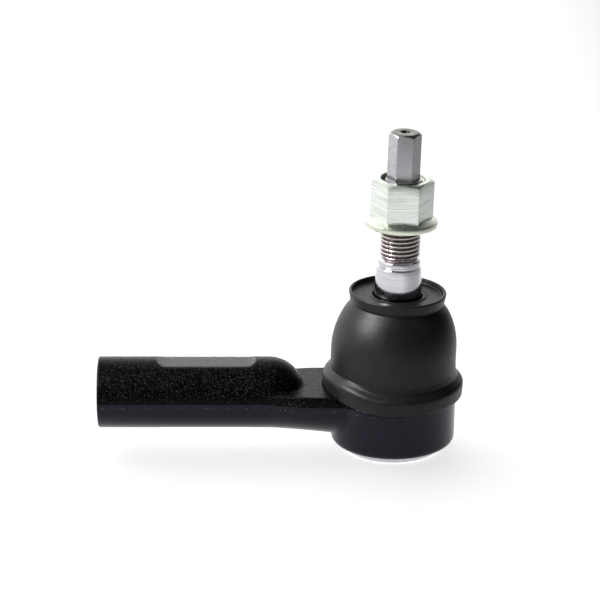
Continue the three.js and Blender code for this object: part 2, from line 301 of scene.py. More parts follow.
def neck_half_width(x):
    """Half the neck's width, which grows from the nose and meets the socket on a fillet."""
    fillet = 4
    growth_length = 18
    narrow = SHANK_RADIUS - 0.03
    offset = NECK_HALF_WIDTH + fillet
    reach = math.sqrt((SOCKET_RADIUS + fillet) ** 2 - offset**2)
    touch = -SOCKET_RADIUS * reach / (SOCKET_RADIUS + fillet)
    share = np.sin(np.clip((x - NOSE_CENTRE) / growth_length, 0, 1) * math.pi / 2)
    growing = narrow + (NECK_HALF_WIDTH - narrow) * share
    swept = offset - np.sqrt(np.maximum(fillet**2 - (x + reach) ** 2, 0))
    inside = np.sqrt(np.maximum(SOCKET_RADIUS**2 - x**2, 0))
    return np.where(x < -reach, growing, np.where(x < touch, swept, inside))


def neck_field(x, y, z):
    """Flat on top, with drafted sides down to the forging's parting plane and a round belly below it."""
    draft = 0.14
    width = neck_half_width(x)
    depth = SHANK_RADIUS - 0.03 + 2.0 * (np.clip(x - NOSE_CENTRE, 0, 28) / 25) ** 2
    belly = (np.hypot(y / width, z / depth) - 1) * depth
    side = np.abs(y) - width + draft * z
    body = np.where(z < 0, belly, side)
    body = round_both(body, z - NECK_TOP, 0.8)
    return np.maximum(np.maximum(body, NOSE_CENTRE - 1 - x), x)


def ring_field(distance, z, radius, low, high):
    """A cylinder about the socket's axis."""
    return np.maximum(np.maximum(distance - radius, low - z), z - high)


def socket_field(distance, z):
    drafted = SOCKET_RADIUS - 0.3 * np.clip((SHOULDER - z) / 15, 0, 1)
    cup = round_both(distance - drafted, SOCKET_BOTTOM - z, 2.4)
    cup = round_both(cup, z - SHOULDER, 0.5)
    land = round_both(distance - LAND_RADIUS, z - SOCKET_TOP, 0.6)
    return np.minimum(cup, np.maximum(land, SHOULDER - 2 - z))


def cavity_field(distance, z):
    """Room for the bearings, a seat for the cover plate and the rolled lip's opening."""
    room_radius = 16.5
    opening_radius = 17.4
    throat_radius = 12.9 + 0.5 * np.clip(z - ROOM_TOP, 0, 4)
    room = ring_field(distance, z, room_radius, ROOM_BOTTOM, ROOM_TOP)
    seat = ring_field(distance, z, PLATE_RADIUS + 0.3, -16.2, -14.2)
    opening = ring_field(distance, z, opening_radius, SOCKET_BOTTOM - 3, ROOM_BOTTOM)
    throat = np.maximum(distance - throat_radius, 8 - z)
    return np.minimum(np.minimum(room, seat), np.minimum(opening, throat))


def bore_field(x, y, z):
    """The hole that the threaded sleeve lines, with a countersunk mouth and a drill point."""
    distance = np.hypot(y, z)
    depth = x - SHANK_END
    point_depth = 4
    wall = distance - np.maximum(SHANK_THREAD_RADIUS + 0.1, SHANK_THREAD_RADIUS + 1.1 - depth)
    point = (depth - SHANK_THREAD_DEPTH - point_depth) + distance * point_depth / SHANK_THREAD_RADIUS
    return np.maximum(wall, point * 0.9)


def forging_field(x, y, z):
    """Distance in mm from the forging's surface, negative inside."""
    distance = np.hypot(x, y)
    nose_fillet = 1.1 * np.clip((z - 2.9) / 0.7, 0, 1)
    body = round_union(shank_field(x, y, z), neck_field(x, y, z), nose_fillet)
    body = round_union(body, socket_field(distance, z), 1.2)
    above_shoulder = SHOULDER + foot_lift(x) - z
    bead_room = np.maximum(above_shoulder, LAND_RADIUS - distance)
    bead_room = np.maximum(distance - BEAD_RADIUS + 0.1, bead_room)
    wall_round = 0.5 * np.clip(foot_lift(x) / 0.9, 0, 1)
    body = round_both(body, -bead_room, wall_round)
    body = np.maximum(body, -cavity_field(distance, z))
    return np.maximum(body, -bore_field(x, y, z))


def surface_net(field, low, high, step):
    """Points on a field's zero surface, one in each grid cell it crosses, and quads that join them."""
    counts = np.ceil((np.array(high) - low) / step).astype(int) + 1
    axes = [low[k] + step * np.arange(counts[k]) for k in range(3)]
    values = field(*np.meshgrid(*axes, indexing="ij"))
    inside = values < 0
    cells = counts - 1
    total = np.zeros((*cells, 3))
    crossings = np.zeros(tuple(cells))
    corners = [(i, j, k) for i in (0, 1) for j in (0, 1) for k in (0, 1)]
    for start in corners:
        for axis in range(3):
            if start[axis]:
                continue
            end = tuple(1 if k == axis else start[k] for k in range(3))
            window = [tuple(slice(c[k], c[k] + cells[k]) for k in range(3)) for c in (start, end)]
            a, b = values[window[0]], values[window[1]]
            crossed = (a < 0) != (b < 0)
            share = np.where(crossed, a / np.where(crossed, a - b, 1), 0)
            for k in range(3):
                moved = share if k == axis else start[k]
                total[..., k] += np.where(crossed, moved, 0)
            crossings += crossed
    active = crossings > 0
    number = np.full(tuple(cells), -1)
    number[active] = np.arange(active.sum())
    place_in_cell = total[active] / crossings[active][:, None]
    points = np.array(low) + step * (np.argwhere(active) + place_in_cell)
    quads = []
    for axis in range(3):
        u, v = (axis + 1) % 3, (axis + 2) % 3
        near = [slice(1, -1)] * 3
        near[axis] = slice(0, -1)
        far = list(near)
        far[axis] = slice(1, None)
        first, second = inside[tuple(near)], inside[tuple(far)]
        at = np.argwhere(first != second)
        at[:, u] += 1
        at[:, v] += 1
        flip = ~first[first != second]
        ring = []
        for du, dv in ((-1, -1), (0, -1), (0, 0), (-1, 0)):
            cell = at.copy()
            cell[:, u] += du
            cell[:, v] += dv
            ring.append(number[tuple(cell.T)])
        ring = np.stack(ring, axis=1)
        ring[flip] = ring[flip][:, ::-1]
        quads.append(ring)
    return points, np.concatenate(quads)


def gradient(field, points, reach=0.02):
    slopes = []
    for k in range(3):
        step = np.zeros(3)
        step[k] = reach
        slopes.append(field(*(points + step).T) - field(*(points - step).T))
    return np.stack(slopes, axis=1) / (2 * reach)


def pulled_to_surface(field, points, rounds=3):
    """Moves points straight onto the field's surface."""
    for _ in range(rounds):
        slope = gradient(field, points)
        size = np.maximum((slope**2).sum(axis=1), 0.25)
        step = field(*points.T) / size
        points = points - slope * np.clip(step, -0.3, 0.3)[:, None]
    return points


# ---- Material helpers ----
class Finish:
    """A procedural material on a Principled shader. Patterns are in the piece's own metres."""

    def __init__(self, name, colour, metal, roughness):
        self.material = bpy.data.materials.new(name)
        self.material.use_nodes = True
        self.tree = self.material.node_tree
        self.shader = self.tree.nodes["Principled BSDF"]
        self.shader.inputs["Base Color"].default_value = (*colour, 1)
        self.shader.inputs["Metallic"].default_value = metal
        self.shader.inputs["Roughness"].default_value = roughness
        self.place = self.tree.nodes.new("ShaderNodeTexCoord").outputs["Object"]

    def node(self, kind, **settings):
        node = self.tree.nodes.new(kind)
        for key, value in settings.items():
            setattr(node, key, value)
        return node

    def link(self, source, target):
        self.tree.links.new(source, target)

    def stretched(self, along_x, along_y, along_z):
        """The piece's coordinates scaled by these numbers of features per millimetre."""
        mapping = self.node("ShaderNodeMapping")
        mapping.inputs["Scale"].default_value = (along_x / MM, along_y / MM, along_z / MM)
        self.link(self.place, mapping.inputs["Vector"])
        return mapping.outputs["Vector"]

    def noise(self, per_mm, detail=3, roughness=0.55, vector=None):
        node = self.node("ShaderNodeTexNoise")
        node.inputs["Scale"].default_value = per_mm / MM if vector is None else per_mm
        node.inputs["Detail"].default_value = detail
        node.inputs["Roughness"].default_value = roughness
        self.link(self.place if vector is None else vector, node.inputs["Vector"])
        return node.outputs["Fac"]

    def cells(self, per_mm):
        """Irregular cells for grit: the distance from a cell's middle, and each cell's random number."""
        node = self.node("ShaderNodeTexVoronoi")
        node.inputs["Scale"].default_value = per_mm / MM
        self.link(self.place, node.inputs["Vector"])
        parts = self.node("ShaderNodeSeparateColor")
        self.link(node.outputs["Color"], parts.inputs["Color"])
        return node.outputs["Distance"], parts.outputs["Red"]

    def spread(self, value, low, high, new_low, new_high):
        node = self.node("ShaderNodeMapRange", clamp=True)
        limits = {"From Min": low, "From Max": high, "To Min": new_low, "To Max": new_high}
        for key, number in limits.items():
            node.inputs[key].default_value = number
        self.link(value, node.inputs["Value"])
        return node.outputs["Result"]

    def maths(self, operation, *values):
        node = self.node("ShaderNodeMath", operation=operation)
        for k, value in enumerate(values):
            if isinstance(value, (int, float)):
                node.inputs[k].default_value = value
            else:
                self.link(value, node.inputs[k])
        return node.outputs["Value"]

    def mixed(self, share, first, second):
        """A colour between two, each a colour or another node's output."""
        node = self.node("ShaderNodeMix", data_type="RGBA")
        self.link(share, node.inputs["Factor"])
        for key, colour in (("A", first), ("B", second)):
            socket = [s for s in node.inputs if s.name == key and s.type == "RGBA"][0]
            if isinstance(colour, tuple):
                socket.default_value = (*colour, 1)
            else:
                self.link(colour, socket)
        return [s for s in node.outputs if s.type == "RGBA"][0]

    def height(self, axis):
        """The coordinate along an axis, in mm from the ball's centre."""
        parts = self.node("ShaderNodeSeparateXYZ")
        self.link(self.place, parts.inputs["Vector"])
        own = self.maths("MULTIPLY", parts.outputs["XYZ".index(axis)], 1 / MM)
        return self.maths("SUBTRACT", own, float(BALL["XYZ".index(axis)]))

    def colour(self, source):
        self.link(source, self.shader.inputs["Base Color"])

    def roughness(self, source):
        self.link(source, self.shader.inputs["Roughness"])

    def specular(self, level, tint=(1, 1, 1)):
        self.shader.inputs["Specular IOR Level"].default_value = level
        self.shader.inputs["Specular Tint"].default_value = (*tint, 1)

    def stud_place(self):
        """The height along the leaning stud and the distance from its axis, in mm."""
        x, y, z = self.height("X"), self.height("Y"), self.height("Z")
        cos, sin = math.cos(LEAN), math.sin(LEAN)
        along = self.maths("ADD", self.maths("MULTIPLY", z, cos), self.maths("MULTIPLY", x, sin))
        across = self.maths("SUBTRACT", self.maths("MULTIPLY", x, cos), self.maths("MULTIPLY", z, sin))
        squares = self.maths("ADD", self.maths("MULTIPLY", across, across), self.maths("MULTIPLY", y, y))
        return along, self.maths("SQRT", squares)

    def bump(self, *layers):
        """Layers of (height, strength, depth in mm), each on top of the last."""
        normal = None
        for height, strength, depth in layers:
            node = self.node("ShaderNodeBump")
            node.inputs["Strength"].default_value = strength
            node.inputs["Distance"].default_value = depth * MM
            self.link(height, node.inputs["Height"])
            if normal is not None:
                self.link(normal, node.inputs["Normal"])
            normal = node.outputs["Normal"]
        self.link(normal, self.shader.inputs["Normal"])


# ---- Materials ----
def gritty_paint():
    """Black paint over the rough skin of the forging's upper half, its grit tops grey here and there:
    worn paint, and painted glints.
    """
    finish = Finish("gritty_paint", (0.002, 0.002, 0.002), 0, 0.24)
    away, chance = finish.cells(1.9)
    grit = finish.spread(away, 0.0, 0.4, 1, 0)
    tops = finish.spread(away, 0.1, 0.36, 1, 0)
    # worn paint and painted glints: grey on some grit tops
    worn_and_glints = finish.maths("MULTIPLY", tops, finish.spread(chance, 0.5, 1, 0, 1))
    patchy = finish.spread(finish.noise(0.25, detail=3), 0.35, 0.65, 0.35, 1)
    worn_and_glints = finish.maths("MULTIPLY", worn_and_glints, patchy)
    finish.colour(finish.mixed(worn_and_glints, (0.0006, 0.0006, 0.0006), (0.08, 0.08, 0.083)))
    finish.roughness(finish.spread(finish.noise(1.4, detail=5), 0.3, 0.7, 0.16, 0.3))
    finish.bump((grit, 1.0, 0.12), (finish.noise(2.6, detail=4), 0.8, 0.12))
    finish.specular(0.06)
    return finish.material


def smooth_paint():
    """The same paint on the smoother lower half and turned socket, lighter along the trimmed flash
    (rubbed paint with painted glints), and faintly blue in colour and reflections as a painted
    reflection.
    """
    finish = Finish("smooth_paint", (0.003, 0.003, 0.004), 0, 0.25)
    patchy = finish.spread(finish.noise(0.25, detail=3), 0.4, 0.65, 0, 1)
    # faint blue in the paint, as in the specular tint below: painted reflection
    paint = finish.mixed(patchy, (0.0018, 0.0018, 0.0029), (0.0028, 0.0028, 0.0045))
    from_seam = finish.maths("ABSOLUTE", finish.maths("SUBTRACT", finish.height("Z"), FLASH_HEIGHT))
    # lighter along the trimmed flash: rubbed paint and painted glints
    rubbed_and_glints = finish.spread(finish.noise(1.1, detail=2), 0.54, 0.62, 0, 1)
    rubbed_and_glints = finish.maths("MULTIPLY", finish.spread(from_seam, 0.1, 0.45, 1, 0), rubbed_and_glints)
    finish.colour(finish.mixed(rubbed_and_glints, paint, (0.03, 0.03, 0.034)))
    finish.roughness(finish.spread(finish.noise(1.4, detail=5), 0.3, 0.7, 0.18, 0.3))
    finish.bump((finish.noise(2.2, detail=4), 0.3, 0.05))
    # blue specular tint: painted reflection
    finish.specular(0.25, (0.74, 0.79, 1))
    return finish.material


def milled_paint():
    """The same paint over the milled wrench flats: flatter, with a fine even grain."""
    finish = Finish("milled_paint", (0.004, 0.004, 0.004), 0, 0.2)
    finish.roughness(finish.spread(finish.noise(2, detail=4), 0.3, 0.7, 0.14, 0.26))
    finish.bump((finish.noise(1.7, detail=4), 1.0, 0.14))
    finish.specular(0.2)
    return finish.material


def boot_rubber():
    """Moulded black rubber: satin, very faintly mottled, with a fine skin."""
    finish = Finish("boot_rubber", (0.006, 0.006, 0.006), 0, 0.4)
    mottle = finish.spread(finish.noise(0.12, detail=4), 0.35, 0.7, 0, 1)
    finish.colour(finish.mixed(mottle, (0.005, 0.005, 0.0055), (0.009, 0.009, 0.009)))
    finish.roughness(finish.spread(finish.noise(0.6, detail=4), 0.3, 0.7, 0.35, 0.45))
    finish.bump((finish.noise(5, detail=3), 0.25, 0.03), (finish.noise(0.35, detail=2), 0.2, 0.12))
    finish.specular(0.2)
    return finish.material


def ground_steel():
    """The stud's ground taper: bright, with fine grinding rings round it, and painted near black at its
    foot: a painted shade and reflection of the boot's black lip.
    """
    finish = Finish("ground_steel", (0.72, 0.71, 0.74), 1, 0.2)
    rings = finish.noise(1, detail=4, roughness=0.7, vector=finish.stretched(0.05, 0.05, 5))
    ground = finish.mixed(finish.spread(rings, 0.3, 0.7, 0, 1), (0.46, 0.45, 0.49), (0.7, 0.69, 0.72))
    along, _ = finish.stud_place()
    # painted shade: the taper's foot is coloured near black, for the boot's shadow and dark reflection
    foot = finish.spread(along, TAPER_BOTTOM + 0.9, TAPER_BOTTOM + 2.1, 1, 0)
    finish.colour(finish.mixed(foot, ground, (0.015, 0.015, 0.016)))
    finish.roughness(finish.spread(rings, 0.3, 0.7, 0.08, 0.2))
    finish.bump((rings, 0.2, 0.02))
    return finish.material


def thread_steel():
    """Rolled thread, its roots painted darker and a little bronze as painted shade, and its crests
    painted bright as a painted highlight.
    """
    finish = Finish("thread_steel", (0.3, 0.27, 0.27), 1, 0.32)
    mottle = finish.noise(1.1, detail=4)
    _, away = finish.stud_place()
    # painted highlight on the crests, painted shade in the roots
    crest = finish.spread(away, THREAD_RADIUS - 0.55, THREAD_RADIUS - 0.1, 0, 1)
    root_shade = finish.mixed(finish.spread(mottle, 0.35, 0.65, 0, 1), (0.1, 0.08, 0.09), (0.24, 0.2, 0.2))
    finish.colour(finish.mixed(crest, root_shade, (0.62, 0.58, 0.57)))
    finish.roughness(finish.spread(mottle, 0.3, 0.7, 0.22, 0.4))
    finish.bump((finish.noise(6, detail=3), 0.3, 0.02))
    return finish.material


def drive_steel():
    """The hex drive's milled flats, with fine lines across them, and its darker top."""
    finish = Finish("drive_steel", (0.5, 0.5, 0.52), 1, 0.32)
    drawn = finish.noise(1, detail=4, roughness=0.65, vector=finish.stretched(0.4, 0.4, 4))
    flats = finish.mixed(finish.spread(drawn, 0.3, 0.7, 0, 1), (0.32, 0.32, 0.34), (0.5, 0.5, 0.52))
    along, _ = finish.stud_place()
    top = finish.spread(along, STUD_TOP - 0.5, STUD_TOP - 0.15, 0, 1)
    finish.colour(finish.mixed(top, flats, (0.15, 0.145, 0.13)))
    finish.roughness(finish.spread(drawn, 0.3, 0.7, 0.26, 0.42))
    finish.bump((drawn, 0.3, 0.03))
    return finish.material


def zinc_plate():
    """Bright zinc over machining lines with a faint patchy yellow-green passivation; its top and flange,
    which face up, painted darker and greener as a painted reflection of the dim space above, and its
    flange rim a little lighter and yellower.
    """
    finish = Finish("zinc_plate", (0.8, 0.82, 0.78), 1, 0.25)
    lines = finish.noise(1, detail=5, roughness=0.7, vector=finish.stretched(0.06, 0.06, 3.8))
    tint = finish.spread(finish.noise(0.22, detail=3), 0.42, 0.62, 0, 0.25)
    plain = finish.mixed(finish.spread(lines, 0.36, 0.56, 0, 1), (0.48, 0.52, 0.5), (0.84, 0.86, 0.84))
    along, away = finish.stud_place()
    # painted reflection: the top and the flange, which face up, are coloured darker and greener
    low_painted_reflection = finish.spread(along, NUT_BOTTOM + 2.8, NUT_BOTTOM + 3.6, 1, 0)
    high_painted_reflection = finish.spread(along, NUT_TOP - 2.2, NUT_TOP - 1.2, 0, 1)
    with_painted_reflection = finish.mixed(finish.maths("MAXIMUM", low_painted_reflection, high_painted_reflection), plain, (0.58, 0.63, 0.56))
    on_flange = finish.spread(along, NUT_BOTTOM + 2, NUT_BOTTOM + 2.6, 1, 0)
    outermost = finish.spread(away, FLANGE_RADIUS - 1.2, FLANGE_RADIUS - 0.3, 0, 1)
    rim = finish.maths("MULTIPLY", on_flange, outermost)
    rimmed = finish.mixed(rim, with_painted_reflection, (0.64, 0.67, 0.56))
    finish.colour(finish.mixed(tint, rimmed, (0.73, 0.78, 0.6)))
    finish.roughness(finish.spread(lines, 0.3, 0.7, 0.2, 0.36))
    finish.bump((lines, 0.6, 0.07), (finish.noise(3, detail=3), 0.15, 0.02))
    return finish.material


def plate_steel():
    """The pressed cover plate: bare steel with fine scratches."""
    finish = Finish("plate_steel", (0.75, 0.76, 0.78), 1, 0.25)
    scratches = finish.noise(1, detail=5, roughness=0.7, vector=finish.stretched(0.3, 3, 1))
    bright = finish.spread(scratches, 0.3, 0.7, 0, 1)
    finish.colour(finish.mixed(bright, (0.5, 0.5, 0.53), (0.75, 0.75, 0.78)))
    finish.roughness(finish.spread(finish.noise(0.8, detail=4), 0.3, 0.7, 0.18, 0.34))
    finish.bump((scratches, 0.2, 0.02))
    return finish.material


def plain_steel(name, dark, light, rough):
    """Bare inner steel parts, a little mottled; also, near black, the painted shade inside the stud's
    drilled hole.
    """
    finish = Finish(name, light, 1, rough)
    mottle = finish.noise(0.8, detail=4)
    finish.colour(finish.mixed(finish.spread(mottle, 0.35, 0.65, 0, 1), dark, light))
    finish.roughness(finish.spread(mottle, 0.3, 0.7, rough - 0.08, rough + 0.1))
    finish.bump((finish.noise(4, detail=3), 0.2, 0.02))
    return finish.material


def bearing_plastic():
    """Ivory moulded acetal."""
    finish = Finish("bearing_plastic", (0.66, 0.61, 0.48), 0, 0.42)
    mottle = finish.spread(finish.noise(0.3, detail=3), 0.35, 0.65, 0, 1)
    finish.colour(finish.mixed(mottle, (0.6, 0.55, 0.43), (0.7, 0.66, 0.54)))
    finish.bump((finish.noise(3, detail=3), 0.15, 0.02))
    return finish.material


GRITTY = gritty_paint()
SMOOTH = smooth_paint()
MILLED = milled_paint()
RUBBER = boot_rubber()
GROUND = ground_steel()
THREAD = thread_steel()
DRIVE = drive_steel()
ZINC = zinc_plate()
PLATE = plate_steel()
STEEL = plain_steel("plain_steel", (0.3, 0.3, 0.31), (0.45, 0.46, 0.47), 0.36)
SPRING = plain_steel("spring_steel", (0.12, 0.12, 0.13), (0.22, 0.22, 0.24), 0.42)
# painted shade: near-black steel for the stud's drilled hole
HOLE_SHADE = plain_steel("hole_shade_black", (0.015, 0.015, 0.016), (0.04, 0.04, 0.042), 0.5)
PLASTIC = bearing_plastic()


# ---- The forging ----
def pebbles(points):
    """Height in mm of the forged skin: pebbly on the upper half, calmer below and on the socket."""
    heights = np.empty(len(points))
    for i, (x, y, z) in enumerate(points):
        coarse = noise.noise(Vector((x, y, z)) * 0.55)
        fine = noise.noise(Vector((x + 40, y, z)) * 1.15)
        heights[i] = 0.6 * coarse + 0.7 * fine
    x, y, z = points.T
    upper = np.clip((z + 1) / 2, 0.2, 1)
    on_shank = np.clip((GRIT_START - x) / 6, 0.25, 1)
    off_bore = (x > SHANK_END + 0.6) & (np.hypot(y, z) > SHANK_THREAD_RADIUS + 1.5) | (x > NOSE_CENTRE)
    off_land = np.hypot(x, y) > LAND_RADIUS + 0.5
    flat = (np.abs(z) > FLAT_HEIGHT - 0.3) & (x > FLAT_START) & (x < FLAT_END)
    return 0.045 * heights * upper * on_shank * off_bore * off_land * np.where(flat, 0.3, 1)


def parting_ridge(points):
    """A low ridge of trimmed flash along the forging's sides."""
    x, y, z = points.T
    height, width = 0.08, 0.7
    on_side = np.clip((np.abs(y) - 9) / 2, 0, 1) * np.clip((GRIT_START - x) / 2, 0, 1)
    return height * np.exp(-(((z - FLASH_HEIGHT) / width) ** 2)) * on_side


def socket_forging():
    step = 0.5
    margin = 1.3
    points, quads = surface_net(forging_field, forging_low - margin, forging_high + margin, step)
    points = pulled_to_surface(forging_field, points)
    slope = gradient(forging_field, points)
    slope /= np.linalg.norm(slope, axis=1)[:, None]
    depth = pebbles(points) + parting_ridge(points)
    inside_box = np.clip(points + slope * depth[:, None], forging_low, forging_high)
    piece = make_piece("forging", place(inside_box), quads, [SMOOTH, GRITTY, MILLED], sharp=50)
    mark_forging_faces(piece)
    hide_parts("socket_forging")
    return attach(piece, "housing")


def mark_forging_faces(piece):
    """Milled paint on the wrench flats, gritty paint on the rest of the shank's and neck's upper half."""
    gritty, milled = 1, 2
    neck_end = -13
    for face in piece.data.polygons:
        x, y, z = np.array(face.center) / MM - BALL
        if math.hypot(y, z) < SHANK_RADIUS - 0.12 and abs(z) > FLAT_HEIGHT - 0.2 and x < FLAT_END + 4:
            face.material_index = milled
        elif z > 0 and x < neck_end:
            face.material_index = gritty


def thread_wave(turns):
    """Height of a rounded V thread, 0 in the root to 1 on the crest, at a number of turns along it."""
    away = np.abs((turns % 1) - 0.5) * 2
    ramp = np.clip((0.85 - away) / 0.7, 0, 1)
    return ramp * ramp * (3 - 2 * ramp)


def shank_thread():
    """The sleeve of thread in the shank's bore: a grid wound round the shank's axis, closed behind."""
    rows_a_turn, columns = 10, 96
    angles = even_columns(columns)
    start = 1.1
    depths = np.arange(start, SHANK_THREAD_DEPTH, PITCH / rows_a_turn)
    phase = depths[:, None] / PITCH - angles[None, :] / (2 * math.pi)
    fade = np.clip((depths - start) / 1.5, 0, 1) * np.clip((SHANK_THREAD_DEPTH - 3 - depths) / 4, 0, 1)
    inner = SHANK_THREAD_RADIUS - THREAD_DEPTH * thread_wave(phase) * fade[:, None]
    outer = SHANK_THREAD_RADIUS + 0.06
    radii = np.vstack([np.full((1, columns), outer), inner[::-1], np.full((1, columns), outer)])
    heights = np.concatenate([[depths[-1]], depths[::-1], [depths[0]]])
    points = rings_from(radii, heights, angles)
    along, across, up = points[..., 2], points[..., 0], points[..., 1]
    points = np.stack([SHANK_END + along, across, up], axis=-1)
    faces = ring_faces(len(radii), columns, closed=True)
    piece = make_piece("shank_thread", place(points.reshape(-1, 3)), faces, [STEEL], sharp=60)
    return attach(piece, "housing")


def cover_plate():
    """A pressed plate whose flange the socket's lip holds; its middle stands out below."""
    boss = 17.0
    flange_bottom = -15.9
    flange_inside = 15.3
    step = -15
    well, well_floor = 13.4, -18.4
    outline = [
        (0, PLATE_BOTTOM + 0.5),
        (9.0, PLATE_BOTTOM + 0.5, 2),
        (10.6, PLATE_BOTTOM, 2),
        (boss, PLATE_BOTTOM, 1.1),
        (boss, flange_bottom, 0.2),
        (PLATE_RADIUS, flange_bottom, 0.3),
        (PLATE_RADIUS, PLATE_TOP, 0.3),
        (flange_inside, PLATE_TOP, 0.3),
        (flange_inside, step),
        (well, step),
        (well, well_floor, 0.5),
        (0, well_floor),
    ]
    piece = turned("cover", outline, PLATE)
    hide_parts("cover_plate")
    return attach(piece, "housing")


# ---- The boot ----
def bend_to_stud(points):
    """The boot's dome follows the socket's axis below and the leaning stud's above."""
    share = np.clip((points[..., 2] - BEND_START) / (BEND_END - BEND_START), 0, 1)
    return lean(points, LEAN * share * share * (3 - 2 * share))


def dome(inset, heights):
    """The dome's wall, a quarter of an ellipse that the lip cuts short."""
    share = np.maximum(0, (heights - DOME_START) / (DOME_RISE - inset))
    return list(zip((BOOT_RADIUS - inset) * np.sqrt(1 - share**2), heights))


def ride_up(points):
    """The bead rides up on the neck, most of all at the bead's top edge."""
    points = points.copy()
    height = points[..., 2]
    points[..., 2] = height + foot_lift(points[..., 0]) * np.interp(height, [0, 7.1, 10], [1, 1.7, 0.3])
    return points


def boot_bead():
    """The boot's foot, clamped round the socket, where it stays while the stud swings and turns."""
    inside = 21.3
    round_dome = BOOT_RADIUS + 0.03
    widest = 5.2
    shoulder = 7.1
    top = 10
    outline = [
        (inside, BOOT_BOTTOM + 0.1, 0.2),
        (BEAD_RADIUS - 0.35, BOOT_BOTTOM, 0.7),
        (BEAD_RADIUS + 0.07, widest, 2.2),
        (BOOT_RADIUS + 0.5, shoulder, 1.6),
        (BOOT_RADIUS + 0.08, top - 0.7, 1.5),
        (BOOT_RADIUS + 0.06, top),
        (round_dome, top),
        (round_dome, widest + 0.2),
        (inside, widest - 0.2),
    ]
    piece = turned("boot_bead", outline, RUBBER, columns=160, closed=True, longest=1, bend=ride_up)
    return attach(piece, "housing")


def dust_boot():
    """The boot's dome and its flared lip, with a pocket under its floor for the neck ring."""
    dome_bottom = 9
    lip = 17
    floor_edge = 15.5
    ring_inside, ring_outside = 10.8, 14.2
    ring_bottom, ring_top = 33, 34.8
    outline = [
        (BOOT_RADIUS, dome_bottom, 0.2),
        *dome(0, np.arange(11, 32, 1.0)),
        (16.5, 32.9, 0.8),
        (15.75, 33.9, 0.5),
        (lip - 0.6, 34.3, 0.5),
        (lip, BOOT_TOP, 0.45),
        (lip - 1.1, BOOT_TOP, 0.45),
        (floor_edge, BOOT_FLOOR, 0.6),
        (10.4, BOOT_FLOOR, 0.8),
        (9.5, BOOT_FLOOR + 0.5, 0.3),
        (COLLAR_RADIUS + 0.1, BOOT_FLOOR + 0.4, 0.2),
        (COLLAR_RADIUS + 0.3, BOOT_FLOOR - 1.2),
        (COLLAR_RADIUS + 0.3, ring_bottom),
        (ring_inside, ring_bottom),
        (ring_inside, ring_top),
        (ring_outside, ring_top),
        (ring_outside, 30.5),
        *dome(BOOT_WALL, np.arange(29, 12, -1.0)),
        (BOOT_RADIUS - BOOT_WALL, dome_bottom, 0.2),
    ]
    piece = turned("boot", outline, RUBBER, columns=160, closed=True, longest=1, bend=bend_to_stud)
    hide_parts("dust_boot")
    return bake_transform(piece)


# ---- The stud ----
def hex_radius(angles, flats, corner_cut):
    """Radius of a hexagon with flats facing +Y and -Y, its corners turned down by corner_cut."""
    from_flat = (angles % (math.pi / 3)) - math.pi / 6
    corner = flats / math.sqrt(3) - corner_cut
    return np.minimum(flats / 2 / np.cos(from_flat), corner)


def hex_columns(count, *hexes):
    """Even columns, with one more where each (flats, corner_cut) hexagon's corners start and end."""
    angles = list(even_columns(count))
    for flats, corner_cut in hexes:
        edge = math.pi / 6 - math.acos(flats / 2 / (flats / math.sqrt(3) - corner_cut))
        for k in range(6):
            angles += [k * math.pi / 3 + edge, (k * math.pi / 3 - edge) % (2 * math.pi)]
    return np.unique(np.round(angles, 6))


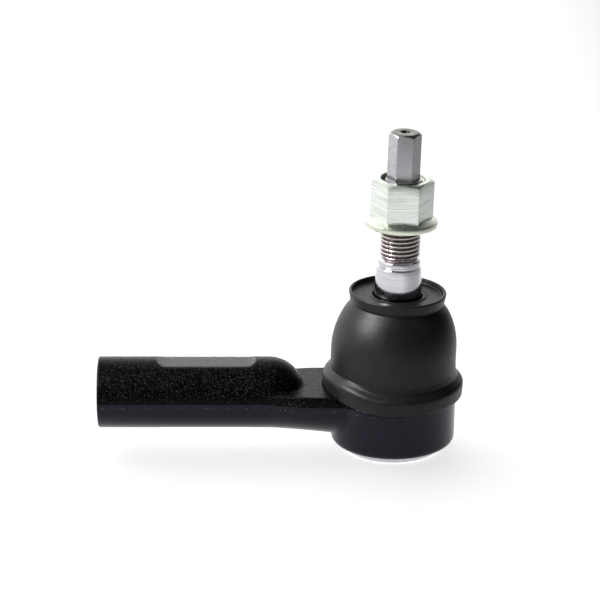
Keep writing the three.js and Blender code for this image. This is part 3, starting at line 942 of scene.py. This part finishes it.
def ball_stud():
    corner_cut = 0.1
    angles = hex_columns(96, (DRIVE_FLATS, corner_cut))
    neck, neck_top = 6.9, 19
    collar_bottom = 25
    taper = COLLAR_RADIUS - 0.25
    taper_end = taper - TAPER_SLOPE * (TAPER_TOP - TAPER_BOTTOM)
    root = THREAD_RADIUS - THREAD_DEPTH
    neck_angle = math.degrees(math.acos(neck / BALL_RADIUS))
    flat_angle = math.degrees(math.asin(BALL_FLAT / BALL_RADIUS))
    lower = subdivided(corner_rounded([
        (0, BALL_FLAT),
        *arc((0, 0), BALL_RADIUS, flat_angle, neck_angle, 40),
        (neck, neck_top, 2),
        (COLLAR_RADIUS, collar_bottom, 1),
        (COLLAR_RADIUS, TAPER_BOTTOM - 0.2, 0.15),
        (taper, TAPER_BOTTOM, 0.1),
        (taper_end, TAPER_TOP + 0.5, 0.2),
        (taper_end - 0.75, TAPER_TOP + 0.7, 0.1),
        (taper_end - 0.75, TAPER_TOP + 1.3, 0.1),
        (taper_end - 0.35, TAPER_TOP + 1.5, 0.15),
        (taper_end - 0.5, THREAD_BOTTOM - 0.9, 0.3),
        (root + 0.1, THREAD_BOTTOM - 0.3, 0.2),
        (root, THREAD_BOTTOM),
    ]), 2, closed=False)
    heights = np.arange(THREAD_BOTTOM + 0.06, THREAD_TOP, PITCH / 20)
    phase = heights[:, None] / PITCH - angles[None, :] / (2 * math.pi)
    fade = np.clip((heights - THREAD_BOTTOM) / 1.2, 0, 1)[:, None]
    cut_end = THREAD_RADIUS - np.maximum(heights - (THREAD_TOP - 1.2), 0)[:, None]
    thread = np.minimum(root + THREAD_DEPTH * thread_wave(phase) * fade, cut_end)

    drive = hex_radius(angles, DRIVE_FLATS, corner_cut)
    flat_top = DRIVE_FLATS / 2 - 0.55
    slope = 0.75
    edge = STUD_TOP - slope * (drive - flat_top)
    upper_radii = [np.maximum(drive, root - 0.1) + 0.1, drive, drive]
    upper_heights = [np.full_like(angles, height) for height in (THREAD_TOP, THREAD_TOP + 0.2)]
    upper_heights.append(edge - 0.25)
    for share in (0, 0.15, 0.3, 0.6, 0.85, 1):
        dip = 0.12 * math.cos(share * math.pi / 2)
        upper_radii.append(drive + (flat_top - drive) * share - 0.05 * (1 - share))
        upper_heights.append(edge + (STUD_TOP - edge) * math.sin(share * math.pi / 2) - dip * 0.2)
    drill = DRILL_RADIUS
    for radius, depth in ((3.2, 0), (drill, 0.02), (drill - 0.2, 0.15), (0.9, 1.8), (0.9, 3.6), (0, 4)):
        upper_radii.append(np.full_like(angles, radius))
        upper_heights.append(np.full_like(angles, STUD_TOP - depth))

    whole = (len(lower), len(angles))
    radii = np.vstack([np.broadcast_to(lower[:, :1], whole), thread, np.array(upper_radii)])
    tall = np.vstack([
        np.broadcast_to(lower[:, 1:], whole),
        np.broadcast_to(heights[:, None], thread.shape),
        np.array(upper_heights),
    ])
    points = rings_from(radii, tall, angles)
    faces = ring_faces(len(radii), len(angles), closed=False)
    points = place(points.reshape(-1, 3), leaning=True)
    piece = make_piece("stud", points, faces, [GROUND, THREAD, DRIVE, HOLE_SHADE], sharp=38)
    paint_by_height(piece, THREAD_BOTTOM - 0.5, THREAD_TOP)
    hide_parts("ball_stud")
    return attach(piece, "stud")


def paint_by_height(piece, *borders):
    """Gives each face the material of its stretch of the stud, or the near-black painted shade of the
    drilled hole.
    """
    drilled = 3
    for face in piece.data.polygons:
        centre = lean((np.array(face.center) / MM - BALL)[None, :], -LEAN)[0]
        face.material_index = sum(centre[2] > border for border in borders)
        # the drilled hole gets the near-black painted shade
        if centre[2] > THREAD_TOP and math.hypot(centre[0], centre[1]) < DRILL_RADIUS - 0.05:
            face.material_index = drilled


# ---- The nut ----
def flange_nut():
    corner_cut = 0.12
    angles = hex_columns(96, (NUT_FLATS, corner_cut))
    side = hex_radius(angles, NUT_FLATS, corner_cut)
    bore = THREAD_RADIUS + 0.1
    root = bore + 0.55
    chamfer_start = NUT_FLATS / 2 - 0.3
    chamfer_slope = 0.58
    cone_edge = FLANGE_RADIUS - 0.3
    cone_low, cone_high = 2.05, 3.4
    cone_slope = (cone_high - cone_low) / (cone_edge - NUT_FLATS / 2)
    cone_start = NUT_BOTTOM + cone_low
    flat = np.ones_like(angles)

    def ring(radius, height):
        return radius * flat, height * flat

    side_low = cone_start + cone_slope * (cone_edge - side)
    side_high = NUT_TOP - chamfer_slope * (side - chamfer_start)
    profile = [
        ring(root + 0.9, NUT_BOTTOM),
        ring(10.9, NUT_BOTTOM + 0.02),
        ring(FLANGE_RADIUS - 0.35, NUT_BOTTOM + 0.04),
        ring(FLANGE_RADIUS - 0.1, NUT_BOTTOM + 0.14),
        ring(FLANGE_RADIUS, NUT_BOTTOM + 0.4),
        ring(FLANGE_RADIUS, NUT_BOTTOM + 1.65),
        ring(FLANGE_RADIUS - 0.09, NUT_BOTTOM + 1.9),
        ring(cone_edge, cone_start),
    ]
    for share in (0.35, 0.7, 0.93):
        radius = cone_edge + (side - cone_edge) * share
        profile.append((radius, cone_start * (1 - share) + side_low * share))
    profile += [(side - 0.15, side_low), (side - 0.15, side_low + 0.2), (side, side_low + 0.35)]
    profile += [(side, side_low * (1 - share) + side_high * share) for share in (0.25, 0.5, 0.75)]
    profile.append((side, side_high - 0.12))
    for share in (0, 0.08, 0.5, 0.92):
        radius = side + (chamfer_start - side) * share - 0.03
        profile.append((radius, side_high * (1 - share) + NUT_TOP * share))
    profile.append(ring(chamfer_start - 0.25, NUT_TOP))
    profile += [ring(root + 0.3, NUT_TOP), ring(root, NUT_TOP - 0.3)]
    rows = np.arange(NUT_TOP - 1, NUT_BOTTOM + 1, -PITCH / 10)
    for height in rows:
        phase = height / PITCH - angles / (2 * math.pi)
        fade = np.clip(min(NUT_TOP - 1 - height, height - NUT_BOTTOM - 1), 0, 1)
        profile.append((root - (root - bore) * thread_wave(phase) * fade, height * flat))
    profile.append(ring(root, NUT_BOTTOM + 0.9))

    radii = np.array([radius for radius, _ in profile])
    heights = np.array([height for _, height in profile])
    points = rings_from(radii, heights, angles)
    faces = ring_faces(len(profile), len(angles), closed=True)
    piece = make_piece("nut", place(points.reshape(-1, 3), leaning=True), faces, [ZINC], sharp=28)
    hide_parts("flange_nut")
    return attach(piece, "nut")


def dress_inner_nodes():
    """The pieces inside keep their CAD shapes and get real finishes."""
    finishes = {
        "upper_bearing": PLASTIC,
        "lower_bearing": PLASTIC,
        "thrust_washer": STEEL,
        "disc_spring": SPRING,
        "boot_base_ring": STEEL,
        "boot_neck_ring": STEEL,
    }
    for name, material in finishes.items():
        mesh = frame["nodes"][name].data
        mesh.materials.clear()
        mesh.materials.append(material)


# ---- Studio ----
def floor():
    """A pale floor, lit from within like a light table, but less on the right and in front."""
    half = 8.0
    height = cad_box[0].z - 0.0002
    mesh = bpy.data.meshes.new("floor")
    corners = [(x * half, y * half, height) for x, y in ((-1, -1), (1, -1), (1, 1), (-1, 1))]
    mesh.from_pydata(corners, [], [(0, 1, 2, 3)])
    finish = Finish("floor_white", (0.86, 0.86, 0.86), 0, 0.9)
    finish.shader.inputs["Emission Color"].default_value = (1, 1, 1, 1)
    parts = finish.node("ShaderNodeSeparateXYZ")
    finish.link(finish.place, parts.inputs["Vector"])
    from_right = finish.spread(parts.outputs["X"], 0.18, 0.34, 1, 0.15)
    from_front = finish.spread(parts.outputs["Y"], -0.8, -0.3, 0.35, 1)
    brightest = 0.74
    glow = finish.maths("MULTIPLY", finish.maths("MULTIPLY", from_right, from_front), brightest)
    finish.link(glow, finish.shader.inputs["Emission Strength"])
    mesh.materials.append(finish.material)
    piece = bpy.data.objects.new("floor", mesh)
    bpy.context.scene.collection.objects.link(piece)
    return piece


def softbox(name, direction, distance, size, power, spared=None):
    """A square lamp that faces the ball from a direction, and doesn't light the spared piece."""
    centre = Vector(BALL) * MM
    lamp = bpy.data.lights.new(name, "AREA")
    lamp.size = size
    lamp.energy = power
    holder = bpy.data.objects.new(name, lamp)
    away = Vector(direction).normalized()
    holder.location = centre + away * distance
    holder.rotation_mode = "QUATERNION"
    holder.rotation_quaternion = away.to_track_quat("Z", "Y")
    holder.visible_camera = False
    bpy.context.scene.collection.objects.link(holder)
    if spared:
        lit = bpy.data.collections.new(name + "_lights")
        lit.objects.link(spared)
        lit.collection_objects[0].light_linking.link_state = "EXCLUDE"
        holder.light_linking.receiver_collection = lit


def studio_air():
    """A world that is bright behind and left of the object, and dim above, in front and right of it."""
    world = bpy.data.worlds.new("studio")
    world.use_nodes = True
    tree = world.node_tree
    background = tree.nodes["Background"]
    direction = tree.nodes.new("ShaderNodeTexCoord")
    towards = tree.nodes.new("ShaderNodeVectorMath")
    towards.operation = "DOT_PRODUCT"
    towards.inputs[1].default_value = (-0.6, 0.8, 0)
    ramp = tree.nodes.new("ShaderNodeMapRange")
    ramp.interpolation_type = "SMOOTHSTEP"
    dim, bright = 0.04, 1.8
    for key, number in {"From Min": 0, "From Max": 0.9, "To Min": dim, "To Max": bright}.items():
        ramp.inputs[key].default_value = number
    tree.links.new(direction.outputs["Generated"], towards.inputs[0])
    tree.links.new(towards.outputs["Value"], ramp.inputs["Value"])
    tree.links.new(ramp.outputs["Result"], background.inputs["Strength"])
    background.inputs["Color"].default_value = (1, 1, 1, 1)
    bpy.context.scene.world = world


def camera():
    """A long lens in front of the part, one metre away and a little above it."""
    aim = Vector((BALL[0] - 32.58, 0, 34.32)) * MM
    elevation = math.radians(20)
    distance = 1.0
    back = Vector((0, -math.cos(elevation), math.sin(elevation)))
    lens = bpy.data.cameras.new("camera")
    lens.sensor_width = 36
    lens.lens = 172.8
    holder = bpy.data.objects.new("camera", lens)
    holder.location = aim + back * distance
    holder.rotation_mode = "QUATERNION"
    holder.rotation_quaternion = back.to_track_quat("Z", "Y")
    bpy.context.scene.collection.objects.link(holder)
    bpy.context.scene.camera = holder


camera()
studio_air()
table = floor()
softbox("key", direction=(-0.71, -0.28, 0.65), distance=1.2, size=0.6, power=34, spared=table)
bpy.context.scene.view_settings.view_transform = "Standard"

socket_forging()
shank_thread()
cover_plate()
boot_bead()
dust_boot()
ball_stud()
flange_nut()
dress_inner_nodes()
